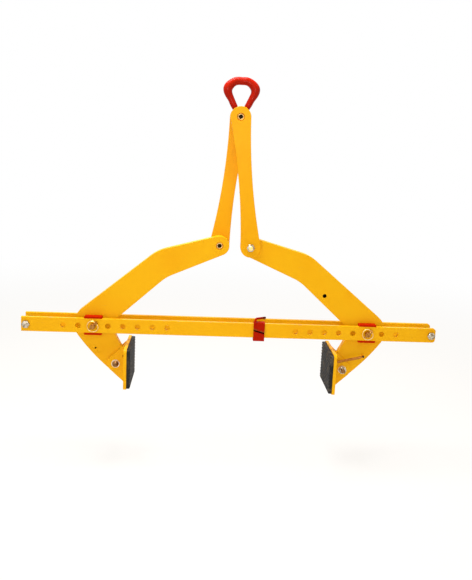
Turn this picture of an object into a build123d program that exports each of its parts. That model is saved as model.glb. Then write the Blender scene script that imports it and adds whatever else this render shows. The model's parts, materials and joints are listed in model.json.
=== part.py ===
from build123d import *
import os
from math import pi, sqrt

# Block lifting clamp: a toggle grab that hangs by a forged ring.
# The frame's origin is the seat at the crown inside the ring, +Z up, +X along the crossbar, -Y to the front.
# The left half is the right half turned 180 degrees about Z.

os.makedirs("parts", exist_ok=True)

# Lifting ring
seat_to_top_bolt = 102.0
ring_crown = 26.0
ring_foot = 20.0
ring_foot_spread = 28.0
ring_foot_rise = 12.0
ring_eye = 52.0
ring_eye_width = 25.0
# Centre line of its right half between crown and foot: out from the middle, up from the seat, bar diameter
ring_line = (
    (20.0, 11.5, 27.0),
    (35.5, 2.0, 29.0),
    (45.2, -13.6, 30.5),
    (42.1, -30.0, 26.0),
    (32.8, -46.8, 22.0),
    (24.6, -63.4, 21.5),
)

# Links
link_length = 433.2
link_plate = 15.0
link_top_radius = 34.0
link_foot_radius = 34.0
link_waist = 45.0

# Levers, drawn from the hub: inward along the bar, then up
lever_plate = 25.0
elbow_in = 418.0
elbow_up = 285.7
elbow_radius = 33.5
hub_radius = 68.0
back_bend_in = 210.0
back_bend_up = 262.5
belly_bend_in = 241.0
belly_bend_up = 171.0
bend_radius = 140.0
throat_in = 53.5
throat_up = 1.0
throat_radius = 18.0
shin_in = 95.0
shin_down = 80.0
shin_radius = 30.0
jaw_bolt_in = 76.0
jaw_bolt_down = 135.5
foot_radius = 32.0
heel_radius = 700.0
handle_hole_in = 153.0
handle_hole_up = 124.0
handle_hole = 14.0
handle_hole_depth = 18.0
elbow_bush = 25.0
hub_bush = 36.0

# Crossbar
bar_length = 1420.0
bar_height = 50.0
bar_plate = 12.0
bar_corner = 10.0
first_hole = 220.0
hole_pitch = 50.0
hole_count = 8
hole_count_to_pivot = 5
end_bolt_inset = 16.0
shoe_web = 10.0
shoe_flange = 7.0
shoe_length = 60.0
shoe_corner = 3.0

# Pins and bolts
link_bolt = 16.0
link_head = 24.0
link_head_height = 7.5
link_head_recess = 8.5
link_socket = 14.0
link_socket_depth = 5.5
link_nut_flats = 24.0
pivot_pin = 18.0
pivot_pin_head = 30.0
pivot_pin_head_height = 8.0
pivot_pin_end = 17.0
end_bolt = 16.0
end_bolt_flats = 24.0
end_bolt_head = 10.0
end_spacer = 28.0
jaw_bolt = 16.0
jaw_bolt_flats = 24.0
jaw_bolt_head = 10.0
nut_height = 13.0
bolt_end = 4.0
washer_plate = 3.0
washer_rim = 2.0
thrust_washer_rim = 10.0

# Linch pins
linch_shank = 4.8
linch_head = 10.0
linch_head_length = 11.0
linch_tail = 6.5
linch_wire = 3.5
linch_loop = 19.0
linch_stub = 0.5

# Jaws
cheek_plate = 9.0
cheek_radius = 29.0
backing_plate = 10.0
backing_in = 34.0
jaw_height = 142.0
jaw_depth = 180.0
lining_plate = 12.0
lining_margin = 4.0
lining_bevel = 3.0

# Jaw springs and their posts
lever_post_in = 6.0
lever_post_down = 85.0
jaw_post_in = 26.0
jaw_post_up = 27.5
post = 7.0
post_overhang = 3.0
post_sink = 10.0
spring_wire = 1.6
spring_coil = 8.0
spring_turns = 18
spring_leg = 8.0
spring_lead = 4.5
spring_stand_off = 3.5

# Keeper clip
clip_from_centre = 94.0
clip_width = 38.0
clip_plate = 4.0
clip_drop = 11.0
clip_lip = 12.0
clip_seam_drop = 0.5
clip_seam_rise = 10.0
clip_seam_gap = 6.0
clip_seam_depth = 3.0
clip_lap = 2.0
finger = 7.5
finger_inset = 0.6
finger_root = 8.0
finger_rise = 18.0
finger_reach = 40.0
finger_bend = 12.0

# Clearances
side_gap = 1.0
running_fit = 0.05
slip_fit = 0.3
slide_fit = 0.2
open_pivot_fit = 4.3
plate_edge = 1.2

# Places worked out from the sizes
pivot_x = first_hole + hole_count_to_pivot * hole_pitch
elbow_x = pivot_x - elbow_in
top_z = -seat_to_top_bolt
elbow_z = top_z - sqrt(link_length**2 - elbow_x**2)
bar_z = elbow_z - elbow_up
jaw_x = pivot_x - jaw_bolt_in
jaw_z = bar_z - jaw_bolt_down
lever_face = lever_plate / 2
link_inner = lever_face + side_gap
link_outer = link_inner + link_plate
shoe_inner = lever_face + side_gap
bar_inner = shoe_inner + shoe_web
bar_outer = bar_inner + bar_plate
cheek_inner = lever_face + side_gap
cheek_outer = cheek_inner + cheek_plate
linch_y = -bar_outer - pivot_pin_end / 2


def write(builder, name):
    """Label a finished piece and write it."""
    builder.part.label = name
    export_step(builder.part, f"parts/{name}.step")


def write_pair(builder, name):
    """Write the right-hand piece and its left-hand twin, half a turn about Z."""
    write(builder, f"right_{name}")
    with BuildPart() as twin:
        add(builder.part.rotate(Axis.Z, 180))
    write(twin, f"left_{name}")


def at_y(y):
    """The upright plane at a depth, X to the right and Z up, facing the front."""
    return Plane.XZ.offset(-y)


def rod(x, z, diameter, y_from, y_to, mode=Mode.ADD):
    """A round bar along Y between two depths."""
    turned = Location((x, y_to, z), (90, 0, 0))
    with Locations(turned):
        Cylinder(diameter / 2, y_to - y_from, align=(Align.CENTER, Align.CENTER, Align.MIN), mode=mode)


def washer(x, z, outer, inner, y_from, y_to):
    """A flat ring along Y between two depths."""
    rod(x, z, outer, y_from, y_to)
    rod(x, z, inner, y_from, y_to, mode=Mode.SUBTRACT)


def hexagon(x, z, flats, y_from, y_to, mode=Mode.ADD):
    """A hexagonal prism along Y between two depths."""
    with BuildSketch(at_y(y_to)) as outline:
        with Locations((x, z)):
            RegularPolygon(flats / 2, 6, major_radius=False)
    extrude(outline.sketch, amount=y_to - y_from, mode=mode)


def panel(low, high, mode=Mode.ADD):
    """A rectangle of a sketch between two of its corners."""
    size = Vector(high) - Vector(low)
    with Locations((Vector(low) + Vector(high)) / 2):
        Rectangle(size.X, size.Y, mode=mode)


def tangent_point(point, centre, radius, side):
    """Where the tangent from a point touches a circle: side +1 keeps the circle on the left of the way there."""
    gap = Vector(centre) - Vector(point)
    reach = sqrt(gap.length**2 - radius**2)
    along = gap * (reach / gap.length**2)
    across = Vector(-gap.Y, gap.X) * (radius / gap.length**2)
    return Vector(point) + (along - across * side) * reach


def arc_about(centre, start, end):
    """The arc about a centre from start to end, the short way round."""
    from_centre = Vector(start) - Vector(centre)
    halfway = (from_centre + Vector(end) - Vector(centre)).normalized()
    ThreePointArc(tuple(start), tuple(Vector(centre) + halfway * from_centre.length), tuple(end))


def soften(builder):
    """Round the outer rims of a plate that stands along X and Z."""
    rims = [face.outer_wire().edges() for face in builder.faces().filter_by(Axis.Y)]
    fillet([edge for rim in rims for edge in rim], plate_edge)


def in_space(point, y=0):
    """A point of the front plane, at a depth."""
    return Vector(point.X, y, point.Y)


# Lifting ring: a pear-shaped bar whose round section swells at the shoulders, and a bored eye

right_line = [*ring_line, (ring_foot_spread / 2, top_z + ring_foot_rise, ring_foot)]
left_line = [(-x, z, bar) for x, z, bar in reversed(right_line)]
ring_way = [*left_line, (0, ring_crown / 2, ring_crown), *right_line]
ring_points = [Vector(x, 0, z) for x, z, bar in ring_way]
ring_bars = [bar for x, z, bar in ring_way]
points_before = ring_points[:1] + ring_points[:-1]
points_after = ring_points[1:] + ring_points[-1:]

with BuildPart() as lifting_ring:
    for point, before, after, bar in zip(ring_points, points_before, points_after, ring_bars):
        with BuildSketch(Plane(point, x_dir=(0, 1, 0), z_dir=after - before)):
            Circle(bar / 2)
    loft()
    rod(0, top_z, ring_eye, -ring_eye_width / 2, ring_eye_width / 2)
    rod(0, top_z, link_bolt + 2 * running_fit, -ring_eye_width, ring_eye_width, mode=Mode.SUBTRACT)
write(lifting_ring, "lifting_ring")

# Links: two eyes joined by a waist, whose sides are single arcs tangent to both eyes

link_top = Vector(0, top_z)
link_foot = Vector(elbow_x, elbow_z)
link_along = (link_foot - link_top).normalized()
link_across = Vector(-link_along.Y, link_along.X)
half_waist = link_waist / 2
top_flare = 1 / (link_top_radius - half_waist)
foot_flare = 1 / (link_foot_radius - half_waist)
waist_b = 2 * link_length * foot_flare
waist_c = link_length**2 * foot_flare + link_top_radius - link_foot_radius
waist_at = 2 * waist_c / (waist_b + sqrt(waist_b**2 - 4 * (foot_flare - top_flare) * waist_c))
waist_radius = (waist_at**2 * top_flare - link_top_radius - half_waist) / 2


def link_point(along, across):
    """A point of the front link's plate, measured from its top eye."""
    return link_top + link_along * along + link_across * across


def link_side(side):
    """Ends and middle of one side's arc, side +1 or -1."""
    centre = link_point(waist_at, side * (half_waist + waist_radius))
    upper = link_top + (centre - link_top).normalized() * link_top_radius
    lower = link_foot + (centre - link_foot).normalized() * link_foot_radius
    return upper, link_point(waist_at, side * half_waist), lower


left_side = link_side(-1)
right_side = link_side(1)

with BuildPart() as link_blank:
    with BuildSketch(at_y(-link_inner)):
        with BuildLine():
            ThreePointArc(*left_side)
            ThreePointArc(left_side[2], link_point(link_length + link_foot_radius, 0), right_side[2])
            ThreePointArc(*right_side)
            ThreePointArc(right_side[0], link_point(-link_top_radius, 0), left_side[0])
        make_face()
    extrude(amount=link_plate)
    soften(link_blank)
    for eye in (link_top, link_foot):
        rod(eye.X, eye.Y, link_bolt + 2 * running_fit, -link_outer, -link_inner, mode=Mode.SUBTRACT)

with BuildPart() as front_link:
    add(link_blank.part)
    rod(0, top_z, elbow_bush, -link_outer, link_head_recess - link_outer, mode=Mode.SUBTRACT)
write(front_link, "front_link")

with BuildPart() as rear_link:
    add(link_blank.part.rotate(Axis.Z, 180))
write(rear_link, "rear_link")

# Top bolt: a cap screw sunk in the front link, with its nut behind the rear link

top_seat_y = link_head_recess - link_outer
top_head_y = top_seat_y - link_head_height
top_nut_y = link_outer + running_fit
top_nut_end = top_nut_y + nut_height

with BuildPart() as top_bolt:
    rod(0, top_z, link_bolt, top_seat_y, top_nut_end + bolt_end)
    rod(0, top_z, link_head, top_head_y, top_seat_y)
    hexagon(0, top_z, link_socket, top_head_y, top_head_y + link_socket_depth, mode=Mode.SUBTRACT)
write(top_bolt, "top_bolt")

with BuildPart() as top_nut:
    hexagon(0, top_z, link_nut_flats, top_nut_y, top_nut_end)
    rod(0, top_z, link_bolt, top_nut_y, top_nut_end, mode=Mode.SUBTRACT)
write(top_nut, "top_nut")

thrust_outer = link_bolt + 2 * thrust_washer_rim
thrust_near = ring_eye_width / 2 + running_fit
thrust_far = link_inner - running_fit
with BuildPart() as top_thrust_washers:
    washer(0, top_z, thrust_outer, link_bolt, -thrust_far, -thrust_near)
    washer(0, top_z, thrust_outer, link_bolt, thrust_near, thrust_far)
write(top_thrust_washers, "top_thrust_washers")

# Elbow bolts: cap screws sunk in the lever, with their nuts on the link

elbow_bush_end = lever_face - link_head_recess
elbow_seat_y = elbow_bush_end + slide_fit
elbow_head_y = elbow_seat_y + link_head_height
elbow_nut_end = -link_outer - nut_height

with BuildPart() as elbow_bolt:
    rod(elbow_x, elbow_z, link_bolt, elbow_nut_end - bolt_end, elbow_seat_y)
    rod(elbow_x, elbow_z, link_head, elbow_seat_y, elbow_head_y)
    socket_floor = elbow_head_y - link_socket_depth
    hexagon(elbow_x, elbow_z, link_socket, socket_floor, elbow_head_y, mode=Mode.SUBTRACT)
write_pair(elbow_bolt, "elbow_bolt")

with BuildPart() as elbow_nut:
    hexagon(elbow_x, elbow_z, link_nut_flats, elbow_nut_end, -link_outer)
    rod(elbow_x, elbow_z, link_bolt, elbow_nut_end, -link_outer, mode=Mode.SUBTRACT)
write_pair(elbow_nut, "elbow_nut")

with BuildPart() as elbow_thrust_washer:
    washer(elbow_x, elbow_z, thrust_outer, link_bolt, -link_inner, -lever_face - running_fit)
write_pair(elbow_thrust_washer, "elbow_thrust_washer")

with BuildPart() as elbow_bush_piece:
    washer(elbow_x, elbow_z, elbow_bush, link_bolt + 2 * running_fit, -lever_face, elbow_bush_end)
write_pair(elbow_bush_piece, "elbow_bush")

# Levers: a bent arm from the elbow eye to the hub, and a foot that carries the jaw

elbow = Vector(elbow_x, elbow_z)
hub = Vector(pivot_x, bar_z)
foot = Vector(jaw_x, jaw_z)


def lever_point(inward, up):
    """A point of the right lever's plate, measured from its hub."""
    return Vector(pivot_x - inward, bar_z + up)


back_bend = lever_point(back_bend_in, back_bend_up)
belly_bend = lever_point(belly_bend_in, belly_bend_up)
throat = lever_point(throat_in, throat_up)
shin = lever_point(shin_in, -shin_down)
elbow_tip = elbow + (elbow - (back_bend + belly_bend) / 2).normalized() * elbow_radius
hub_back = hub + (hub - throat).normalized() * hub_radius
foot_tip = foot + (foot - hub).normalized() * foot_radius
elbow_upper = tangent_point(back_bend, elbow, elbow_radius, 1)
elbow_lower = tangent_point(belly_bend, elbow, elbow_radius, -1)
hub_upper = tangent_point(back_bend, hub, hub_radius, -1)
shank = foot - hub
shank_way = shank.normalized()
hub_to_heel = heel_radius - hub_radius
foot_to_heel = heel_radius - foot_radius
heel_along = (hub_to_heel**2 - foot_to_heel**2 + shank.length**2) / (2 * shank.length)
heel_across = sqrt(hub_to_heel**2 - heel_along**2)
heel_centre = hub + shank_way * heel_along + Vector(shank_way.Y, -shank_way.X) * heel_across
hub_lower = hub + (hub - heel_centre).normalized() * hub_radius
foot_outer = foot + (foot - heel_centre).normalized() * foot_radius
foot_inner = tangent_point(shin, foot, foot_radius, 1)
lever_post = lever_point(lever_post_in, -lever_post_down)
handle_socket = lever_point(handle_hole_in, handle_hole_up)

with BuildPart() as lever:
    with BuildSketch(at_y(0)) as lever_outline:
        with BuildLine():
            Polyline(elbow_upper, back_bend, hub_upper)
            ThreePointArc(hub_upper, hub_back, hub_lower)
            arc_about(heel_centre, hub_lower, foot_outer)
            ThreePointArc(foot_outer, foot_tip, foot_inner)
            Polyline(foot_inner, shin, throat, belly_bend, elbow_lower)
            ThreePointArc(elbow_lower, elbow_tip, elbow_upper)
        make_face()
        for corner, radius in (
            (back_bend, bend_radius),
            (belly_bend, bend_radius),
            (throat, throat_radius),
            (shin, shin_radius),
        ):
            fillet(lever_outline.vertices().sort_by_distance(corner)[0], radius)
    extrude(amount=lever_face, both=True)
    soften(lever)
    rod(elbow_x, elbow_z, elbow_bush, -lever_face, lever_face, mode=Mode.SUBTRACT)
    rod(pivot_x, bar_z, hub_bush, -lever_face, lever_face, mode=Mode.SUBTRACT)
    rod(jaw_x, jaw_z, jaw_bolt + 2 * running_fit, -lever_face, lever_face, mode=Mode.SUBTRACT)
    rod(lever_post.X, lever_post.Y, post, -lever_face, lever_face, mode=Mode.SUBTRACT)
    handle_floor = handle_hole_depth - lever_face
    rod(handle_socket.X, handle_socket.Y, handle_hole, -lever_face, handle_floor, mode=Mode.SUBTRACT)
write_pair(lever, "lever")

# Hub bushes: the left one is bored wide, because the linkage is open at that pivot

with BuildPart() as right_hub_bush:
    washer(pivot_x, bar_z, hub_bush, pivot_pin + 2 * running_fit, -lever_face, lever_face)
write(right_hub_bush, "right_hub_bush")

with BuildPart() as left_hub_bush:
    washer(-pivot_x, bar_z, hub_bush, pivot_pin + 2 * open_pivot_fit, -lever_face, lever_face)
write(left_hub_bush, "left_hub_bush")

# Crossbar: two flat bars with a row of adjusting holes, bolted over spacers at their ends

end_x = bar_length / 2 - end_bolt_inset
bar_half = bar_height / 2

with BuildPart() as front_bar:
    with BuildSketch(at_y(-bar_inner)) as bar_outline:
        with Locations((0, bar_z)):
            Rectangle(bar_length, bar_height)
        fillet(bar_outline.vertices().group_by(Axis.X)[-1], bar_corner)
    extrude(amount=bar_plate)
    soften(front_bar)
    for side in (-1, 1):
        for hole in range(hole_count):
            hole_x = side * (first_hole + hole * hole_pitch)
            rod(hole_x, bar_z, pivot_pin + 2 * slip_fit, -bar_outer, -bar_inner, mode=Mode.SUBTRACT)
        rod(side * end_x, bar_z, end_bolt + 2 * slip_fit, -bar_outer, -bar_inner, mode=Mode.SUBTRACT)
write(front_bar, "front_bar")

with BuildPart() as rear_bar:
    add(front_bar.part.mirror(Plane.XZ))
write(rear_bar, "rear_bar")

end_nut_y = bar_outer + washer_plate

with BuildPart() as end_spacers:
    for side in (-1, 1):
        washer(side * end_x, bar_z, end_spacer, end_bolt + 2 * slip_fit, -bar_inner, bar_inner)
write(end_spacers, "end_spacers")

with BuildPart() as end_bolts:
    for side in (-1, 1):
        hexagon(side * end_x, bar_z, end_bolt_flats, -bar_outer - end_bolt_head, -bar_outer)
        rod(side * end_x, bar_z, end_bolt, -bar_outer, end_nut_y + nut_height + bolt_end)
write(end_bolts, "end_bolts")

with BuildPart() as end_washers:
    for side in (-1, 1):
        washer(side * end_x, bar_z, end_bolt_flats + 2 * washer_rim, end_bolt, bar_outer, end_nut_y)
write(end_washers, "end_washers")

with BuildPart() as end_nuts:
    for side in (-1, 1):
        hexagon(side * end_x, bar_z, end_bolt_flats, end_nut_y, end_nut_y + nut_height)
        rod(side * end_x, bar_z, end_bolt, end_nut_y, end_nut_y + nut_height, mode=Mode.SUBTRACT)
write(end_nuts, "end_nuts")

# Slide shoes: channels that hug a bar and carry the pivot pin beside the lever

shoe_half = bar_half + slide_fit
shoe_tip = shoe_half + shoe_flange

with BuildPart() as front_shoe:
    with BuildSketch(Plane.YZ.offset(pivot_x - shoe_length / 2)):
        panel((-bar_outer, bar_z - shoe_tip), (-shoe_inner, bar_z + shoe_tip))
        panel((-bar_outer, bar_z - shoe_half), (-bar_inner, bar_z + shoe_half), mode=Mode.SUBTRACT)
    extrude(amount=shoe_length)
    fillet(front_shoe.edges().filter_by(Axis.Y).group_by(Axis.Z)[-1], shoe_corner)
    fillet(front_shoe.edges().filter_by(Axis.Y).group_by(Axis.Z)[0], shoe_corner)
    rod(pivot_x, bar_z, pivot_pin + 2 * slip_fit, -bar_inner, -shoe_inner, mode=Mode.SUBTRACT)
write(front_shoe, "right_front_shoe")

with BuildPart() as rear_shoe:
    add(front_shoe.part.mirror(Plane.XZ))
write(rear_shoe, "right_rear_shoe")

for builder, name in ((front_shoe, "left_rear_shoe"), (rear_shoe, "left_front_shoe")):
    with BuildPart() as left_shoe:
        add(builder.part.rotate(Axis.Z, 180))
    write(left_shoe, name)

# Pivot pins with their linch pins: each linch lies aslant, with its loop flat before the bar

linch_seat = pivot_pin / 2 + slip_fit
linch_hinge = linch_seat + linch_head_length / 2
loop_stub = linch_head / 2 + linch_stub
loop_bow = linch_loop - loop_stub
loop_x = linch_hinge - loop_bow

for side, hub_x in (("right", pivot_x), ("left", -pivot_x)):
    linch_plane = Plane((hub_x, linch_y, bar_z), x_dir=(1, 0, 1), z_dir=(0, -1, 0))
    along_linch = Rotation(0, 90, 0)
    across_linch = Rotation(90, 0, 0)

    with BuildPart() as pin:
        rod(hub_x, bar_z, pivot_pin, -bar_outer - pivot_pin_end, bar_outer)
        chamfer(pin.edges().sort_by(Axis.Y)[0], plate_edge)
        rod(hub_x, bar_z, pivot_pin_head, bar_outer, bar_outer + pivot_pin_head_height)
        fillet(pin.edges().sort_by(Axis.Y)[-1], plate_edge)
        with Locations(linch_plane.location * along_linch):
            Cylinder(linch_shank / 2 + slide_fit, 2 * pivot_pin, mode=Mode.SUBTRACT)
    write(pin, f"{side}_pivot_pin")

    with BuildPart(linch_plane) as linch:
        tail_x = -pivot_pin / 2 - linch_tail
        with Locations(Location((tail_x, 0, 0)) * along_linch):
            Cylinder(linch_shank / 2, linch_seat - tail_x, align=(Align.CENTER, Align.CENTER, Align.MIN))
        tail = linch_plane.from_local_coords((tail_x, 0, 0))
        fillet(linch.edges().filter_by(GeomType.CIRCLE).sort_by_distance(tail)[0], linch_shank / 3)
        with Locations(Location((linch_seat, 0, 0)) * along_linch):
            Cylinder(linch_head / 2, linch_head_length, align=(Align.CENTER, Align.CENTER, Align.MIN))
        with Locations(Location((linch_hinge, 0, 0)) * across_linch):
            Cylinder(linch_wire / 2 + running_fit, 2 * linch_head, mode=Mode.SUBTRACT)
    write(linch, f"{side}_linch_pin")

    with BuildPart() as loop:
        with BuildLine(linch_plane) as loop_path:
            Line((linch_hinge, running_fit), (linch_hinge, loop_stub))
            arc_about((loop_x, loop_stub), (linch_hinge, loop_stub), (loop_x, linch_loop))
            ThreePointArc((loop_x, linch_loop), (loop_x - linch_loop, 0), (loop_x, -linch_loop))
            arc_about((loop_x, -loop_stub), (loop_x, -linch_loop), (linch_hinge, -loop_stub))
            Line((linch_hinge, -loop_stub), (linch_hinge, -running_fit))
        with BuildSketch(Plane(loop_path.line @ 0, z_dir=loop_path.line % 0)):
            Circle(linch_wire / 2)
        sweep()
    write(loop, f"{side}_linch_ring")

# Jaws: two cheeks flared to a backing plate, with a rubber lining

backing_x = jaw_x - backing_in - backing_plate / 2
lining_x = jaw_x - backing_in - backing_plate - lining_plate / 2
jaw_post = Vector(jaw_x - jaw_post_in, jaw_z + jaw_post_up)

with BuildPart() as jaw:
    for cheek_y in (-cheek_inner, cheek_outer):
        with BuildSketch(at_y(cheek_y)) as cheek:
            with Locations((jaw_x, jaw_z)):
                Circle(cheek_radius)
            with Locations((backing_x, jaw_z)):
                Rectangle(backing_plate, jaw_height)
            make_hull(cheek.edges())
            with Locations((jaw_x, jaw_z)):
                Circle(jaw_bolt / 2 + slide_fit, mode=Mode.SUBTRACT)
            with Locations((jaw_post.X, jaw_post.Y)):
                Circle(post / 2, mode=Mode.SUBTRACT)
        extrude(amount=cheek_plate)
    with Locations((backing_x, 0, jaw_z)):
        Box(backing_plate, jaw_depth, jaw_height)
    fillet(jaw.edges().filter_by(Axis.X).group_by(Axis.Y)[0], bar_corner)
    fillet(jaw.edges().filter_by(Axis.X).group_by(Axis.Y)[-1], bar_corner)
write_pair(jaw, "jaw")

with BuildPart() as lining:
    with Locations((lining_x, 0, jaw_z)):
        Box(lining_plate, jaw_depth - 2 * lining_margin, jaw_height - 2 * lining_margin)
    chamfer(lining.faces().sort_by(Axis.X)[0].edges(), lining_bevel)
write_pair(lining, "jaw_lining")

jaw_nut_y = -cheek_outer - washer_plate
jaw_head_y = cheek_outer + washer_plate

with BuildPart() as jaw_bolt_piece:
    rod(jaw_x, jaw_z, jaw_bolt, jaw_nut_y - nut_height - bolt_end, jaw_head_y)
    chamfer(jaw_bolt_piece.edges().sort_by(Axis.Y)[0], plate_edge)
    hexagon(jaw_x, jaw_z, jaw_bolt_flats, jaw_head_y, jaw_head_y + jaw_bolt_head)
write_pair(jaw_bolt_piece, "jaw_bolt")

with BuildPart() as jaw_nut:
    hexagon(jaw_x, jaw_z, jaw_bolt_flats, jaw_nut_y - nut_height, jaw_nut_y)
    rod(jaw_x, jaw_z, jaw_bolt, jaw_nut_y - nut_height, jaw_nut_y, mode=Mode.SUBTRACT)
write_pair(jaw_nut, "jaw_nut")

with BuildPart() as jaw_washers:
    washer(jaw_x, jaw_z, jaw_bolt_flats + 2 * washer_rim, jaw_bolt, jaw_nut_y, -cheek_outer)
    washer(jaw_x, jaw_z, jaw_bolt_flats + 2 * washer_rim, jaw_bolt, cheek_outer, jaw_head_y)
write_pair(jaw_washers, "jaw_washers")

# Jaw springs: close-wound tension springs between a post on the lever and a post on the jaw

spring_y = -cheek_outer - spring_stand_off - spring_coil / 2
post_end = spring_y - post_overhang
spring_start = in_space(lever_post, spring_y)
spring_end = in_space(jaw_post, spring_y)
spring_axis = (spring_end - spring_start).normalized()
coil_out = Vector(0, -1, 0)
coil_radius = (spring_coil - spring_wire) / 2
coil_from = spring_leg + spring_lead
coil_length = (spring_end - spring_start).length - 2 * coil_from
coil_pitch = coil_length / spring_turns
wire_hole = spring_wire + 2 * slide_fit

for name, place, y_to in (
    ("lever_spring_post", lever_post, lever_face - post_sink),
    ("jaw_spring_post", jaw_post, -cheek_inner),
):
    with BuildPart() as spring_post:
        rod(place.X, place.Y, post, post_end, y_to)
        chamfer(spring_post.edges().sort_by(Axis.Y)[0], plate_edge)
        with Locations(Plane(in_space(place, spring_y), z_dir=spring_axis).location):
            Cylinder(wire_hole / 2, 2 * post, mode=Mode.SUBTRACT)
    write_pair(spring_post, name)


def coil_point(turn):
    """A point of the coil's centre line after a number of turns from the lever's end."""
    radial = coil_out.rotate(Axis((0, 0, 0), spring_axis), 360 * turn)
    return spring_start + spring_axis * (coil_from + coil_pitch * turn) + radial * coil_radius


def coil_way(turn):
    """The direction of the wire after a number of turns."""
    radial = coil_out.rotate(Axis((0, 0, 0), spring_axis), 360 * turn)
    return (spring_axis.cross(radial) * (2 * pi * coil_radius) + spring_axis * coil_pitch).normalized()


def biarc(start, start_way, end, end_way):
    """Two arcs that leave a point in one direction and reach another point in a second direction."""
    gap = end - start
    ways = start_way + end_way
    bend = 2 * (1 - start_way.dot(end_way))
    pull = gap.dot(ways)
    reach = (sqrt(pull**2 + bend * gap.dot(gap)) - pull) / bend
    middle = (start + end + (start_way - end_way) * reach) / 2
    middle_way = (end - end_way * reach) - (start + start_way * reach)
    TangentArc(start, middle, tangent=start_way)
    TangentArc(middle, end, tangent=middle_way.normalized())


quarters = [step / 4 for step in range(4 * spring_turns + 1)]
leg_out = spring_start + spring_axis * spring_leg
leg_back = spring_end - spring_axis * spring_leg

with BuildPart() as jaw_spring:
    with BuildLine():
        Line(spring_start, leg_out)
        biarc(leg_out, spring_axis, coil_point(0), coil_way(0))
        for before, after in zip(quarters[:-1], quarters[1:]):
            biarc(coil_point(before), coil_way(before), coil_point(after), coil_way(after))
        biarc(coil_point(spring_turns), coil_way(spring_turns), leg_back, spring_axis)
        Line(leg_back, spring_end)
    with BuildSketch(Plane(spring_start, z_dir=spring_axis)):
        Circle(spring_wire / 2)
    sweep()
write_pair(jaw_spring, "jaw_spring")

wire_points = [coil_point(step / 24) for step in range(24 * spring_turns + 1)]
half_turn_steps = 12
wire_gap = min(
    (later - point).length
    for index, point in enumerate(wire_points)
    for later in wire_points[index + half_turn_steps :]
)
print(f"jaw spring: {spring_turns} turns, least gap between turns {wire_gap - spring_wire:.2f} mm")

# Keeper clip: a strap round the front bar, lapped in front, with a finger that reaches over to the rear bar

bar_top = bar_z + bar_half
clip_back = -bar_outer - slide_fit
clip_front = clip_back - clip_plate
clip_inside = slide_fit - bar_inner
clip_rear = clip_inside + clip_plate
clip_floor = bar_z - bar_half - clip_drop
clip_ceiling = bar_top + slide_fit
clip_top = clip_ceiling + clip_plate
clip_left = clip_from_centre - clip_width / 2
clip_right = clip_from_centre + clip_width / 2
seam_z = bar_z - clip_seam_drop
seam_left = Vector(clip_left, seam_z + clip_seam_rise / 2)
seam_right = Vector(clip_right, seam_z - clip_seam_rise / 2)
seam_gap = Vector(0, -clip_seam_gap)
finger_x = clip_left + finger / 2 + finger_inset
finger_y = clip_back - finger / 2 - finger_inset
rear_mid = bar_inner + bar_plate / 2
up = Vector(0, 0, 1)
finger_start = Vector(finger_x, finger_y, bar_top - finger_root)
finger_corner = Vector(finger_x, finger_y, bar_top + finger_rise)
finger_end = Vector(finger_x + finger_reach, rear_mid, clip_ceiling + finger / 2)
bend_from = finger_corner - up * finger_bend
bend_to = finger_corner + (finger_end - finger_corner).normalized() * finger_bend

with BuildPart() as keeper_clip:
    with BuildSketch(Plane.YZ.offset(clip_left)):
        panel((clip_front, clip_floor), (clip_rear, clip_top))
        panel((clip_back, clip_floor + clip_plate), (clip_inside, clip_ceiling), mode=Mode.SUBTRACT)
        panel((clip_inside, clip_floor + clip_lip), (clip_rear, clip_top - clip_lip), mode=Mode.SUBTRACT)
    extrude(amount=clip_width)
    with BuildSketch(at_y(clip_front)):
        with BuildLine():
            Polyline(seam_left, seam_right, (clip_right, clip_top), (clip_left, clip_top), close=True)
        make_face()
    extrude(amount=clip_lap)
    with BuildSketch(at_y(clip_front)):
        with BuildLine():
            Polyline(seam_left, seam_right, seam_right + seam_gap, seam_left + seam_gap, close=True)
        make_face()
    extrude(amount=-clip_seam_depth, mode=Mode.SUBTRACT)
    with BuildLine():
        Line(finger_start, bend_from)
        TangentArc(bend_from, bend_to, tangent=up)
        Line(bend_to, finger_end)
    with BuildSketch(Plane(finger_start, z_dir=up)):
        Circle(finger / 2)
    sweep()
write(keeper_clip, "keeper_clip")
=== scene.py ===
# %% [markdown]
# # A block lifting clamp
#
# The clamp hangs by a red forged ring. Two yellow links spread a pair of bent levers, the levers turn on
# pins in a double crossbar, and rubber-lined jaws at their feet press inwards on what is lifted. The
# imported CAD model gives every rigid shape, so this lesson adds what machining, paint and use leave on
# them: finishes, bolt heads, springs, rubber and welds. Everything is in metres in the CAD model's frame.

# %% Load the frame
import bmesh
import bpy
import json
import numpy as np
from math import cos, pi, radians, sin
from mathutils import Matrix, Vector


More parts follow.
